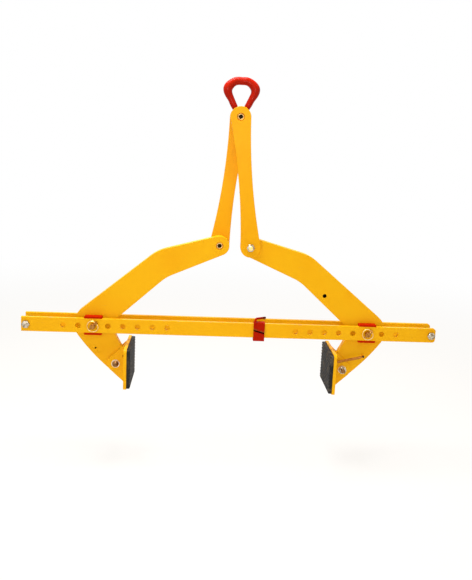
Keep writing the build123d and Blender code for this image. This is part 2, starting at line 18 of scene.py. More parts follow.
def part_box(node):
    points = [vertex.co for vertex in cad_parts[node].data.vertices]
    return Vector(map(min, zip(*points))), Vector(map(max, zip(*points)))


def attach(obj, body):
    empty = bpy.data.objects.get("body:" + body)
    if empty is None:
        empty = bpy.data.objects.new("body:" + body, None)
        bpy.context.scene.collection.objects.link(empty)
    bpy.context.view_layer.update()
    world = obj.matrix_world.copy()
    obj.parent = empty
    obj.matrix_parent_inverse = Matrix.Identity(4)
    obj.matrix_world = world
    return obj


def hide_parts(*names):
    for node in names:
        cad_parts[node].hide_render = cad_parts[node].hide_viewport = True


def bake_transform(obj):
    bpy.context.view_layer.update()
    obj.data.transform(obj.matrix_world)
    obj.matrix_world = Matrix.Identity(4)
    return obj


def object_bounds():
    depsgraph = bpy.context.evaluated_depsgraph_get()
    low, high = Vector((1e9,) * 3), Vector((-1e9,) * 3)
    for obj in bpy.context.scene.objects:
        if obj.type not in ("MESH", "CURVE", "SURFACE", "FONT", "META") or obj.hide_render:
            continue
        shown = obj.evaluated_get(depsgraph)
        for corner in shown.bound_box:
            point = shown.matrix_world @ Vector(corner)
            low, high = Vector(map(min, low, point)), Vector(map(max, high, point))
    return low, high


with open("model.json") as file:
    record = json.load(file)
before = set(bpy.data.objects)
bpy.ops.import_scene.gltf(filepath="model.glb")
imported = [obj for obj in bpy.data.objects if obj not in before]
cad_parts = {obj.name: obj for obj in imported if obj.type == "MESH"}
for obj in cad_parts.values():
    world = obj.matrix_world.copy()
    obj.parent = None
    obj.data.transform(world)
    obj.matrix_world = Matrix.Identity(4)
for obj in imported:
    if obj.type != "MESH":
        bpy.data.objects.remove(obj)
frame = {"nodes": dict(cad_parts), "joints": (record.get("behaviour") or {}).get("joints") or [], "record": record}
cad_lowest, cad_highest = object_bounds()
MM = 0.001
nodes = frame["nodes"]
joint_at = {joint["name"]: Vector(joint["pos_m"]) for joint in frame["joints"] if "pos_m" in joint}
top_pin = joint_at["ring_swing"]
elbow = joint_at["right_elbow"]
hub = joint_at["crossbar_level"]

# %% [markdown]
# ## Camera
#
# The photographer stands a little left of the middle and above the crossbar, and looks slightly down and
# to the right. The camera also leans, so the right end of the crossbar sits lower in the frame. A Track
# To constraint could aim a camera but not lean it, so the three angles are turned into the camera's own
# axes.

# %% The photographer's place
PICTURE_HEIGHT = 580
FOCAL_PIXELS = 672.3
HORIZON_SHIFT_PIXELS = -35.8
PITCH = radians(10.0)
YAW = radians(3.11)
LEAN = radians(2.58)
SENSOR = 36.0
STANDPOINT = (-0.117, -2.253, hub.z + 0.655)

ahead = Vector((sin(YAW) * cos(PITCH), cos(YAW) * cos(PITCH), -sin(PITCH)))
across = ahead.cross(Vector((0, 0, 1))).normalized()
above = across.cross(ahead)
right_side = across * cos(LEAN) + above * sin(LEAN)
top_side = above * cos(LEAN) - across * sin(LEAN)

lens = bpy.data.cameras.new("photographer")
lens.sensor_width = SENSOR
lens.lens = SENSOR * FOCAL_PIXELS / PICTURE_HEIGHT
lens.shift_y = HORIZON_SHIFT_PIXELS / PICTURE_HEIGHT
camera = bpy.data.objects.new("photographer", lens)
camera.matrix_world = Matrix((right_side, top_side, -ahead)).transposed().to_4x4()
camera.location = STANDPOINT
bpy.context.scene.collection.objects.link(camera)
bpy.context.scene.camera = camera
print("lens", round(lens.lens, 2), "mm, camera", [round(v, 3) for v in camera.location])

# %% [markdown]
# ## Lamps
#
# A plain studio: a small lamp where the photographer stands, which looks into the holes as a flash does,
# a wide soft one in front, one overhead for the bright upper edges, weaker ones from the side and the
# back, and two small ones that put sparks on the ring and the bolts. Sun lamps would be easier to aim,
# but their light comes from one direction, and glossy paint and bolts look right only when a lamp of
# some size is reflected in them.

# %% Soft lamps


def soft_lamp(name, place, aim, size, power):
    """A square lamp at a place that faces the aim, with its width in metres and its power in watts."""
    light = bpy.data.lights.new(name, "AREA")
    light.size = size
    light.energy = power
    lamp = bpy.data.objects.new(name, light)
    lamp.matrix_world = (Vector(aim) - Vector(place)).to_track_quat("-Z", "Y").to_matrix().to_4x4()
    lamp.location = place
    bpy.context.scene.collection.objects.link(lamp)
    print(name, "lamp,", power, "W")


middle = (0, 0, elbow.z)
soft_lamp("front", (-1.6, -3.1, 0.2), (-0.2, 0, hub.z), 2.6, 12)
soft_lamp("frontal", STANDPOINT, (0, 0, hub.z), 0.3, 8.4)
soft_lamp("overhead", (-0.3, -0.1, 1.1), middle, 1.0, 46)
soft_lamp("side", (2.9, -1.6, 0.4), middle, 2.2, 3)
soft_lamp("back", (0.4, 2.8, 1.4), middle, 2.0, 22)
soft_lamp("left_spark", (-1.9, -2.2, 1.5), top_pin, 0.25, 3)
soft_lamp("right_spark", (1.7, -2.2, 1.5), top_pin, 0.25, 3)

# %% [markdown]
# ## Shader sums as Python
#
# Each finish mixes several noises, and a tree of Math nodes is hard to read. A small class wraps a
# socket, so that `1 - mask` or `wear * 0.4 + tone` adds the nodes by itself. A second class holds a tree
# of nodes: its `node` method makes any other node from its type, its settings and its sockets. The same
# nodes could be drawn in the shader editor, but written down they can be read, measured and used again.


# %% Sockets that take part in sums
class Signal:
    """A value that changes over a surface: a shader socket that can stand in Python sums."""

    def __init__(self, shading, socket):
        self.shading = shading
        self.socket = socket

    def __add__(self, other):
        return self.shading.math("ADD", self, other)

    def __radd__(self, other):
        return self.shading.math("ADD", other, self)

    def __sub__(self, other):
        return self.shading.math("SUBTRACT", self, other)

    def __rsub__(self, other):
        return self.shading.math("SUBTRACT", other, self)

    def __mul__(self, other):
        return self.shading.math("MULTIPLY", self, other)

    def __rmul__(self, other):
        return self.shading.math("MULTIPLY", other, self)


print("a signal can stand on either side of +, - and *")

# %% Trees of nodes
SEEN_BY = ("Is Camera Ray", "Is Glossy Ray", "Is Transmission Ray")


class Shading:
    """A tree of shader nodes that grows one step at a time."""

    def __init__(self, tree):
        self.tree = tree

    def node(self, kind, settings, sockets, give=0):
        """Any node: its type, its settings, the values or links of its sockets, and the output to give."""
        made = self.tree.nodes.new(kind)
        for name, value in settings.items():
            setattr(made, name, value)
        self.plug(made, sockets)
        return Signal(self, made.outputs[give])

    def plug(self, made, sockets):
        """Link or set each named socket of a node."""
        for name, value in sockets.items():
            if isinstance(value, Signal):
                self.tree.links.new(value.socket, made.inputs[name])
            else:
                made.inputs[name].default_value = value

    def math(self, operation, first, second):
        """One step of arithmetic."""
        return self.node("ShaderNodeMath", {"operation": operation}, {0: first, 1: second})

    def size(self, value):
        """A value without its sign."""
        return self.math("ABSOLUTE", value, 0)

    def larger(self, first, second):
        """The larger of two values."""
        return self.math("MAXIMUM", first, second)

    def part(self, vector, axis):
        """The X, Y or Z of a vector."""
        return self.node("ShaderNodeSeparateXYZ", {}, {0: vector}, axis)

    def ramp(self, value, low, high):
        """A smooth step: 0 below low and 1 above high."""
        sockets = {"Value": value, "From Min": low, "From Max": high}
        return self.node("ShaderNodeMapRange", {"interpolation_type": "SMOOTHSTEP"}, sockets)

    def mix(self, share, first, second):
        """A colour between two, by a share from 0 to 1."""
        return self.node("ShaderNodeMix", {"data_type": "RGBA"}, {0: share, 6: first, 7: second}, 2)

    def watched(self):
        """1 for a ray that looks, also in mirrors and through glass, and 0 for one that only lights."""
        straight, mirrored, through = (self.node("ShaderNodeLightPath", {}, {}, kind) for kind in SEEN_BY)
        return self.larger(self.larger(straight, mirrored), through)


print("white is seen by", SEEN_BY)


# %% Materials
class Finish(Shading):
    """One material: its shader, and patterns that follow the place on a piece."""

    def __init__(self, name):
        self.material = bpy.data.materials.new(name)
        self.material.use_nodes = True
        super().__init__(self.material.node_tree)
        self.shader = self.tree.nodes["Principled BSDF"]
        self.place = self.node("ShaderNodeTexCoord", {}, {}, "Object")

    def noise(self, scale, detail, stretch=(1, 1, 1)):
        """Cloudy noise from 0 to 1, so many spots per metre, drawn out where stretch is small."""
        place = self.node("ShaderNodeMapping", {}, {"Vector": self.place, "Scale": stretch})
        return self.node("ShaderNodeTexNoise", {}, {"Vector": place, "Scale": scale, "Detail": detail})

    def facing(self, axis):
        """How far the surface faces along an axis of the frame, from -1 to 1."""
        return self.part(self.node("ShaderNodeTexCoord", {}, {}, "Normal"), axis)

    def bump(self, height, depth):
        """A dented normal, for a height from 0 to 1 that stands for so many metres."""
        return self.node("ShaderNodeBump", {}, {"Height": height, "Distance": depth})

    def wear(self, sockets):
        """Set or link the shader's own sockets."""
        self.plug(self.shader, sockets)


print("sums like 1 - mask now add their own nodes")

# %% [markdown]
# ## World
#
# An even world fills the shade. Lamps strong enough to whiten a backdrop would bleach the paint as well,
# so the world is white to the eye and in reflections, but weaker and warmer as a light. The paint then
# renders about as its colour is written.

# %% White to the eye, weaker as a light
WHITE = (1, 1, 1, 1)
FILL = (0.54, 0.45, 0.32, 1)

world = bpy.data.worlds.new("studio")
world.use_nodes = True
bpy.context.scene.world = world
bpy.context.scene.view_settings.view_transform = "Standard"
sky = Shading(world.node_tree)
sky.plug(sky.tree.nodes["Background"], {"Color": sky.mix(sky.watched(), FILL, WHITE)})
print("fill light", FILL[:3])

# %% [markdown]
# ## Paint
#
# Plates are sprayed with thick yellow enamel: the tone drifts a little, the skin has a fine orange peel,
# and the rounded rims lose flakes where they knock against things. The wear could be painted on as a
# mask, but a rim can be told from a flat face by its normal, which there points neither along nor across
# the plate. So the finish finds the rims of any plate by itself.

# %% Enamel on plates
BARE_STEEL = (0.20, 0.17, 0.14, 1)
DRIFTS_PER_METRE = 7
SCRATCHES_PER_METRE = 60
CHIPS_PER_METRE = 95
SPECKS_PER_METRE = 320
PEEL_PER_METRE = 700
SCRATCH_STRETCH = (0.25, 1, 6)
OFF_THE_EDGE = (0.12, 0.45)
ON_THE_FACE = (0.72, 0.97)
DRIFTED = (0.35, 0.72)
SPECKED = (0.45, 0.6)
SCRATCHED = (0.69, 0.75)
CHIP_EDGE = 0.03
DRIFT_TINT = 0.75
SPECK_TINT = 0.12
DRIFT_DULLING = 0.12
WEAR_DULLING = 0.2
CHIP_METAL = 0.6
PEEL_RELIEF = 0.35
SPECK_RELIEF = 0.1
CHIP_RELIEF = 0.9


def enamel(name, colour, deep, chip_from, shine, gloss, scuffs, peel_depth):
    """Sprayed paint whose colour drifts towards deep.

    Chips show the metal beneath on the rims, wherever their noise passes chip_from. Scuffs dull the faces.
    """
    paint = Finish(name)
    drift = paint.noise(DRIFTS_PER_METRE, detail=4)
    speckle = paint.noise(SPECKS_PER_METRE, detail=3)
    peel = paint.noise(PEEL_PER_METRE, detail=1)
    flakes = paint.noise(CHIPS_PER_METRE, detail=6)
    scrapes = paint.noise(SCRATCHES_PER_METRE, detail=4, stretch=SCRATCH_STRETCH)
    along = paint.size(paint.facing("Y"))
    rim = paint.ramp(along, *OFF_THE_EDGE) * (1 - paint.ramp(along, *ON_THE_FACE))
    chips = rim * paint.ramp(flakes, chip_from, chip_from + CHIP_EDGE)
    scratches = paint.ramp(scrapes, *SCRATCHED) * scuffs
    worn = paint.larger(chips, scratches * paint.ramp(speckle, *SPECKED))
    tint = paint.ramp(drift, *DRIFTED) * DRIFT_TINT + speckle * SPECK_TINT
    relief = peel * PEEL_RELIEF + speckle * SPECK_RELIEF - chips * CHIP_RELIEF
    paint.colour = paint.mix(worn, paint.mix(tint, colour, deep), BARE_STEEL)
    paint.wear(
        {
            "Base Color": paint.colour,
            "Roughness": drift * DRIFT_DULLING + worn * WEAR_DULLING + shine,
            "Metallic": chips * CHIP_METAL,
            "Normal": paint.bump(relief, peel_depth),
            "Specular IOR Level": gloss,
        }
    )
    return paint


print("orange peel every", round(1 / PEEL_PER_METRE / MM, 2), "mm")

# %% [markdown]
# The levers, bars and jaws share one yellow and the links have a deeper one, from another spraying. The
# ring is forged and smooth, with a thin glossy red. The slide shoes have a thicker red with less shine.
# One recipe with a few numbers makes them all; four trees of nodes drawn by hand would soon differ where
# they should agree.

# %% Yellow and red enamels
THICK_PEEL = 0.12 * MM
THIN_PEEL = 0.02 * MM
plate_coat = {"chip_from": 0.62, "shine": 0.30, "gloss": 0.08, "scuffs": 0.3, "peel_depth": THICK_PEEL}
ring_coat = {"chip_from": 0.78, "shine": 0.12, "gloss": 0.07, "scuffs": 0.0, "peel_depth": THIN_PEEL}
shoe_coat = {"chip_from": 0.62, "shine": 0.38, "gloss": 0.01, "scuffs": 0.2, "peel_depth": THICK_PEEL}

yellow = enamel("yellow_enamel", (0.84, 0.450, 0.005, 1), (0.82, 0.392, 0.003, 1), **plate_coat)
link_yellow = enamel("link_yellow_enamel", (0.83, 0.405, 0.003, 1), (0.81, 0.355, 0.002, 1), **plate_coat)
ring_red = enamel("ring_red_enamel", (0.40, 0.011, 0.001, 1), (0.35, 0.008, 0.001, 1), **ring_coat)
shoe_red = enamel("shoe_red_enamel", (0.52, 0.017, 0.001, 1), (0.43, 0.012, 0.001, 1), **shoe_coat)
finishes = {
    "yellow_paint": yellow.material,
    "forged_red": ring_red.material,
    "red_paint": shoe_red.material,
}
print("enamels:", list(finishes))

# %% [markdown]
# The keeper clip has its own red. Its strap laps over in front; the slanting seam of the lap is painted
# black as shade in its gap, and the lap is worn to brown along its upper lip. The clip darkens towards the
# rear, most at its finger's tip. A painted picture could hold these marks, but distance from the seam is a
# sum of the place's parts, so the shader can work them out.

# %% Marks on the keeper clip
CLIP_WIDTH = 38 * MM
SEAM_RISE = 10 * MM
SEAM_GAP = 6 * MM
SEAM_BLUR = 0.8 * MM
LIP_BLUR = 0.6 * MM
LIP_FADE = (3 * MM, 7 * MM)
STRAP_GAP = 0.5 * MM
STRAP_BLUR = 0.2 * MM
TIP_FADE = (-20 * MM, 26 * MM)
TIP_DARKENING = 0.85
RUBS_PER_METRE = 160
RUBBED = (0.35, 0.6)
# near black: painted shade in the seam's gap, and the darkening towards the finger's tip
SEAM_SHADE_AND_TIP_DARK = (0.014, 0.005, 0.003, 1)
WORN_BROWN = (0.24, 0.075, 0.022, 1)

clip_coat = shoe_coat | {"chip_from": 0.72}
clip_red = enamel("clip_red_enamel", (0.42, 0.013, 0.002, 1), (0.36, 0.010, 0.002, 1), **clip_coat)
x, y, z = (clip_red.part(clip_red.place, axis) for axis in "XYZ")
clip_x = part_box("keeper_clip")[0].x + CLIP_WIDTH / 2
strap_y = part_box("front_bar")[0].y - STRAP_GAP
above_seam = z - hub.z + (x - clip_x) * (SEAM_RISE / CLIP_WIDTH)
in_front = 1 - clip_red.ramp(y, strap_y - STRAP_BLUR, strap_y + STRAP_BLUR)
in_gap = clip_red.ramp(above_seam, -SEAM_GAP - SEAM_BLUR, -SEAM_GAP)
# the seam's gap is painted black: painted shade
seam_shade = in_front * in_gap * (1 - clip_red.ramp(above_seam, -LIP_BLUR, 0))
lip = in_front * clip_red.ramp(above_seam, -SEAM_BLUR, 0) * (1 - clip_red.ramp(above_seam, *LIP_FADE))
# the clip darkens towards the rear, most at the finger's tip
tip = clip_red.ramp(y, *TIP_FADE)
patches = clip_red.ramp(clip_red.noise(RUBS_PER_METRE, detail=3), *RUBBED)
rubbed = clip_red.mix(lip * patches, clip_red.colour, WORN_BROWN)
clip_red.wear({"Base Color": clip_red.mix(clip_red.larger(seam_shade, tip * TIP_DARKENING), rubbed, SEAM_SHADE_AND_TIP_DARK)})
print("seam across the clip at x =", round(clip_x, 4))

# %% [markdown]
# ## Metals
#
# The bolts and nuts are zinc plated, and the jaw washers are a paler zinc. The cap screws and the linch
# rings are gold passivated and the pins amber, made darker all over as painted shade from the linch pins;
# the jaw bolts are browned, the bushes are bronze and the spring wire is oiled. Sockets and tapped holes get
# a near-black finish inside, which is painted shade. Each could have its own tree, but one recipe serves
# them all: a base colour that drifts to a second one in cloudy patches, and fine scratches that change the
# shine.

# %% Plated and bare metals
BLOOMS_PER_METRE = 140
BLOOMED = (0.38, 0.68)
BLOOM_DULLING = 0.08
SCRATCH_DULLING = 0.12
SCRATCH_DEPTH = 0.04 * MM
LATHE_STRETCH = (1, 0.12, 1)


def plated(name, bright, dull, shine, grain):
    """Metal whose colour drifts from bright to dull, with so many fine scratches per metre."""
    metal = Finish(name)
    bloom = metal.ramp(metal.noise(BLOOMS_PER_METRE, detail=4), *BLOOMED)
    scratches = metal.noise(grain, detail=3, stretch=LATHE_STRETCH)
    metal.wear(
        {
            "Base Color": metal.mix(bloom, bright, dull),
            "Metallic": 1.0,
            "Roughness": scratches * SCRATCH_DULLING + bloom * BLOOM_DULLING + shine,
            "Normal": metal.bump(scratches, SCRATCH_DEPTH),
        }
    )
    return metal.material


zinc = plated("zinc_plate", (0.62, 0.54, 0.42, 1), (0.22, 0.16, 0.09, 1), 0.10, 900)
pale_zinc = plated("pale_zinc", (0.90, 0.80, 0.62, 1), (0.74, 0.60, 0.40, 1), 0.30, 900)
gold_zinc = plated("gold_passivated_zinc", (0.98, 0.72, 0.30, 1), (0.86, 0.54, 0.16, 1), 0.25, 900)
# amber made darker all over as painted shade from the linch pins
amber_zinc_with_shade = plated("amber_zinc_darkened_as_shade", (0.54, 0.25, 0.06, 1), (0.30, 0.11, 0.02, 1), 0.22, 1000)
browned = plated("browned_steel", (0.32, 0.16, 0.055, 1), (0.15, 0.065, 0.018, 1), 0.22, 1000)
turned_steel = plated("turned_steel", (0.62, 0.58, 0.52, 1), (0.40, 0.35, 0.28, 1), 0.16, 1400)
bronze = plated("sintered_bronze", (0.62, 0.40, 0.18, 1), (0.42, 0.25, 0.11, 1), 0.35, 1100)
oiled_wire = plated("oiled_spring_wire", (0.62, 0.27, 0.07, 1), (0.44, 0.16, 0.03, 1), 0.45, 1300)
# near-black painted shade for sockets and tapped holes
hole_shade = plated("painted_hole_shade", (0.016, 0.009, 0.004, 1), (0.030, 0.016, 0.006, 1), 0.42, 1000)
finishes |= {"zinc": zinc, "bright_steel": turned_steel, "bronze": bronze, "spring_steel": oiled_wire}
print("finishes by slot:", list(finishes))

# %% [markdown]
# ## Rubber
#
# The jaws are lined with black rubber, greyed with stone dust in patches. A flat black would look like a
# hole in the picture, so the dust lightens the colour and dulls the shine together, and a fine grain
# roughens it.

# %% Dusty rubber
DUST_PER_METRE = 45
DUSTED = (0.42, 0.75)
DUST_TINT = 0.6
DUST_DULLING = 0.2
GRAIN_PER_METRE = 1500
GRAIN_DEPTH = 0.15 * MM
RUBBER_SHINE = 0.62
RUBBER_GLOSS = 0.15


def rubber(name, black, dust):
    """Black rubber that dust covers in patches."""
    pad = Finish(name)
    dusty = pad.ramp(pad.noise(DUST_PER_METRE, detail=6), *DUSTED)
    pad.wear(
        {
            "Base Color": pad.mix(dusty * DUST_TINT, black, dust),
            "Roughness": dusty * DUST_DULLING + RUBBER_SHINE,
            "Normal": pad.bump(pad.noise(GRAIN_PER_METRE, detail=2), GRAIN_DEPTH),
            "Specular IOR Level": RUBBER_GLOSS,
        }
    )
    return pad.material


finishes["lining"] = rubber("jaw_rubber", (0.018, 0.018, 0.019, 1), (0.16, 0.14, 0.11, 1))
print("rubber finish:", finishes["lining"].name)

# %% [markdown]
# ## Spring posts
#
# The posts on the levers were sprayed with them, so they are yellow beside the plate. Outside that stretch
# they are painted dark as shade: at the spring's end and inside the lever's hole. Two pieces could have two
# finishes, but a post is one turned pin, so one finish changes its colour with the distance from the
# lever's middle.

# %% Half-painted posts
PAINT_FROM = (11 * MM, 12 * MM)
PAINT_TO = (24 * MM, 26 * MM)
# dark: painted shade at the spring's end and inside the lever's hole
POST_PAINTED_SHADE = (0.030, 0.022, 0.016, 1)
POST_YELLOW = (0.90, 0.43, 0.010, 1)

post_paint = Finish("spring_post_paint")
off_middle = post_paint.size(post_paint.part(post_paint.place, "Y"))
painted = post_paint.ramp(off_middle, *PAINT_FROM) * (1 - post_paint.ramp(off_middle, *PAINT_TO))
post_colour = post_paint.mix(painted, POST_PAINTED_SHADE, POST_YELLOW)
post_paint.wear({"Base Color": post_colour, "Roughness": 0.5, "Specular IOR Level": 0.1})
print("posts are yellow from", PAINT_FROM[1] / MM, "to", PAINT_TO[0] / MM, "mm off the middle")

# %% [markdown]
# ## Finishes on the CAD parts
#
# The record gives each part a slot, and each slot has a finish. Parts that need one of their own are
# listed by name. The shapes could be copied and dressed as new pieces, but they are right as they are, so
# only their materials are changed.

# %% Dress the CAD parts
slot_of = {piece["node"]: piece["material_slot"] for piece in frame["record"]["subparts"]}
own_finish = {"keeper_clip": clip_red.material}
for link in ("front_link", "rear_link"):
    own_finish[link] = link_yellow.material
for side in ("right", "left"):
    own_finish[f"{side}_lever_spring_post"] = post_paint.material
    own_finish[f"{side}_linch_ring"] = gold_zinc
    # pins: amber, darkened as painted shade
    own_finish[f"{side}_linch_pin"] = amber_zinc_with_shade
    own_finish[f"{side}_pivot_pin"] = amber_zinc_with_shade
    own_finish[f"{side}_jaw_washers"] = pale_zinc
for name, node in nodes.items():
    node.data.materials.clear()
    node.data.materials.append(own_finish.get(name, finishes[slot_of[name]]))
print(len(finishes), "slots on", len(nodes), "nodes,", len(own_finish), "with a finish of their own")

# %% [markdown]
# ## Surfaces from arrays
#
# Every new piece is a grid of points: rows along it and columns around it. Blender's Screw and Bevel
# modifiers make such shapes too, but a formula says exactly where each point is. The grid is worked out
# as one array, and its faces join neighbouring rows and columns. The ends are closed with one face each,
# doubled points at a pole are merged, and the normals are turned outwards.

# %% From grids to pieces
CREASE = radians(32)
DOUBLED = 1e-6
SLIVER = 1e-7
HALF_TURN = np.array([-1.0, -1.0, 1.0])


def shell(grids):
    """One closed mesh from grids (rows, columns, 3), each wrapped round its columns and capped."""
    points, faces, start = [], [], 0
    for grid in grids:
        rows, columns = grid.shape[:2]
        index = start + np.arange(rows * columns).reshape(rows, columns)
        turned_on = np.roll(index, -1, axis=1)
        cells = np.stack([index[:-1], turned_on[:-1], turned_on[1:], index[1:]], axis=-1)
        faces += cells.reshape(-1, 4).tolist() + [index[0, ::-1].tolist(), index[-1].tolist()]
        points.append(grid.reshape(-1, 3))
        start += rows * columns
    mesh = bpy.data.meshes.new("shell")
    mesh.from_pydata(np.concatenate(points), [], faces)
    work = bmesh.new()
    work.from_mesh(mesh)
    bmesh.ops.remove_doubles(work, verts=work.verts, dist=DOUBLED)
    bmesh.ops.dissolve_degenerate(work, edges=work.edges, dist=SLIVER)
    bmesh.ops.recalc_face_normals(work, faces=work.faces)
    work.to_mesh(mesh)
    work.free()
    mesh.shade_smooth()
    mesh.set_sharp_from_angle(angle=CREASE)
    return mesh


def add_piece(name, grids, body, slot, replaced=(), finish=None):
    """A piece made of grids that rides on a body and stands for CAD nodes."""
    mesh = shell(grids)
    mesh.materials.append(finish or finishes[slot])
    made = bpy.data.objects.new(name, mesh)
    bpy.context.scene.collection.objects.link(made)
    if body:
        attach(made, body)
    if replaced:
        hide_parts(*replaced)
    print(name, len(mesh.polygons), "faces")
    return made


def both_sides(grids):
    """Right-hand grids, and their left-hand twins: half a turn about the upright axis."""
    return ("right", grids), ("left", [grid * HALF_TURN for grid in grids])


print("edges over", round(CREASE / pi * 180), "degrees stay sharp")

# %% [markdown]
# ## Bolts and nuts
#
# A forged hexagon head has a round chamfer that cuts its corners, which is what makes a bolt look like a
# bolt. Modelling six flats and bevelling them never gives that curve. Here a row's radius is the smaller
# of a circle and of the hexagon, so the arc on each flat comes by itself as the circle shrinks.

# %% Turned and six-sided rows
AROUND = 96
ROUND = np.inf


def profile(y, circle, flats=ROUND):
    """Rows of a turned piece: places along Y, the circle's radius there, and the width over flats."""
    return np.column_stack(np.broadcast_arrays(y, circle, flats))


def turned(centre, rows):
    """A grid about an axis along Y, from rows of (y, circle, flats).

    At an angle the radius is the smaller of the circle and of half the flats over the cosine of the angle
    from the nearest flat's middle.
    """
    y, circle, flats = np.array(rows, float).T
    angle = np.linspace(0, 2 * pi, AROUND, endpoint=False)
    from_flat = angle % (pi / 3) - pi / 6
    radius = np.minimum(circle[:, None], flats[:, None] / 2 / np.cos(from_flat))
    x = centre.x + radius * np.cos(angle)
    z = centre.z + radius * np.sin(angle)
    return np.stack([x, np.broadcast_to(y[:, None], x.shape), z], axis=-1)


print("each row has", AROUND, "points")

# %% Hexagons
SCREW = 16 * MM
SCREW_FLATS = 24 * MM
SCREW_HEAD = 10 * MM
DOME = 2.0 * MM
HEX_RIM = 0.94
HEX_CHAMFER = 0.17
HEX_STEPS = 9


def hex_rows(y_base, y_face, flats, hole=0.0, both=False):
    """Rows of a hexagon from its base to its face, with a chamfered base for a nut.

    Along the chamfer the circle shrinks evenly from the corners to the rim. On the dome the depth below
    its top is its height times the square of the radius over the rim's radius.
    """
    corner = flats / 2 / cos(pi / 6)
    rim = HEX_RIM * flats / 2
    way = np.sign(y_face - y_base)
    steps = np.linspace(0, 1, HEX_STEPS)
    drop = HEX_CHAMFER * abs(y_face - y_base) * (1 - steps)
    circle = corner + (rim - corner) * steps
    share = np.linspace(1, hole / rim, HEX_STEPS)
    foot = profile(y_base, corner, flats)
    if both:
        foot = profile(y_base + way * drop[::-1], circle[::-1], flats)
    chamfer = profile(y_face - way * (DOME + drop), circle, flats)
    dome = profile(y_face - way * DOME * share**2, rim * share, flats)
    return np.concatenate([profile(y_base, hole), foot, chamfer, dome])


print("a hexagon head has", len(hex_rows(0, SCREW_HEAD, SCREW_FLATS)), "rows")

# %% Screw threads
SCREW_PITCH = 2 * MM
THREAD_ROWS = 8
THREAD_DEPTH = 0.55
THREAD_END = 0.6


def threaded(centre, diameter, pitch, y_from, y_to):
    """A grid of a screw thread about an axis along Y.

    The depth below the crest is a triangle wave, once a pitch along Y and once a turn round it, and the
    radius is cut at both ends by a cone.
    """
    y = np.linspace(y_from, y_to, int(abs(y_to - y_from) / pitch * THREAD_ROWS) + 2)[:, None]
    angle = np.linspace(0, 2 * pi, AROUND, endpoint=False)[None, :]
    phase = (y - y_from) / pitch - angle / (2 * pi)
    depth = THREAD_DEPTH * pitch * np.abs(2 * (phase % 1) - 1)
    ends = np.minimum(np.abs(y - y_from), np.abs(y - y_to))
    radius = np.minimum(diameter / 2 - depth, diameter / 2 - THREAD_END * pitch + ends)
    x = centre.x + radius * np.cos(angle)
    z = centre.z + radius * np.sin(angle)
    return np.stack([x, np.broadcast_to(y, x.shape), z], axis=-1)


print("thread of", SCREW / MM, "mm with a pitch of", SCREW_PITCH / MM, "mm")

# %% [markdown]
# The end bolts and the jaw bolts are ordinary screws: a head, a plain shank, and a short threaded end
# that shows beyond the nut. The jaw bolts' heads are round and browned, on bright washers. The whole bolt
# could be one lathe profile, but a thread isn't round, so it is a grid of its own. Places come from the
# CAD nodes that the bolts stand for.

# %% Screws and nuts
HEAD_CROWN = 0.6
CROWN_STEPS = 13
THREAD_IN_NUT = 2 * MM
NUT_LAP = 0.2 * MM


def domed_rows(y_base, y_face, radius):
    """Rows of a round head from its base to the top of its dome, which is a quarter of an ellipse."""
    crown = HEAD_CROWN * (y_face - y_base)
    angle = np.linspace(0, pi / 2, CROWN_STEPS)
    dome = profile(y_face - crown * (1 - np.sin(angle)), radius * np.cos(angle))
    return np.concatenate([profile(y_base, radius), dome])


def screw(centre, head, y_nut, y_end):
    """A head's rows from its face to its seat, then a shank into the nut and a thread to the end."""
    y_seat = head[-1, 0]
    way = np.sign(y_end - y_seat)
    y_thread = y_nut + way * THREAD_IN_NUT
    shank = profile([y_seat, y_thread], SCREW / 2)
    thread = threaded(centre, SCREW, SCREW_PITCH, y_thread, y_end)
    return [turned(centre, np.concatenate([head, shank])), thread]


def nut(centre, y_seat, y_face):
    """A hexagon nut, chamfered on both sides, round the thread."""
    return turned(centre, hex_rows(y_seat, y_face, SCREW_FLATS, SCREW / 2 - NUT_LAP, both=True))


print("a round head has", len(domed_rows(0, SCREW_HEAD, SCREW_FLATS / 2)), "rows")

# %% End bolts
end_low, end_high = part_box("end_bolts")
nut_low, nut_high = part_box("end_nuts")
end_x = end_high.x - SCREW_FLATS / 2 / cos(pi / 6)
ends = [Vector((side * end_x, 0, hub.z)) for side in (-1, 1)]
end_head = hex_rows(end_low.y + SCREW_HEAD, end_low.y, SCREW_FLATS)[:0:-1]
end_screws = [grid for end in ends for grid in screw(end, end_head, nut_low.y, end_high.y)]
end_nuts = [nut(end, nut_low.y, nut_high.y) for end in ends]
add_piece("end_hex_bolts", end_screws, "crossbar", "zinc", ["end_bolts"])
add_piece("end_hex_nuts", end_nuts, "crossbar", "zinc", ["end_nuts"])

# %% Jaw bolts
JAW_HEAD = 22 * MM

jaw_pin = joint_at["right_jaw_tilt"]
bolt_low, bolt_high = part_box("right_jaw_bolt")
jaw_nut_low, jaw_nut_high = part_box("right_jaw_nut")
jaw_head = domed_rows(bolt_high.y - SCREW_HEAD, bolt_high.y, JAW_HEAD / 2)[::-1]
jaw_screw = screw(jaw_pin, jaw_head, jaw_nut_high.y, bolt_low.y)
jaw_nut = [nut(jaw_pin, jaw_nut_high.y, jaw_nut_low.y)]
for side, grids in both_sides(jaw_screw):
    add_piece(f"{side}_jaw_round_bolt", grids, f"{side}_jaw", "zinc", [f"{side}_jaw_bolt"], browned)
for side, grids in both_sides(jaw_nut):
    add_piece(f"{side}_jaw_hex_nut", grids, f"{side}_jaw", "zinc", [f"{side}_jaw_nut"])

# %% [markdown]
# The links turn on cap screws. Each head is sunk in a plate, with a six-sided socket for the key, and its
# nut stands on the other plate. A boolean could cut the socket, but here the rows simply start on its
# floor and run out over the head to its seat. The socket's dark inside is painted shade: a thin black cup
# of its own lines it.

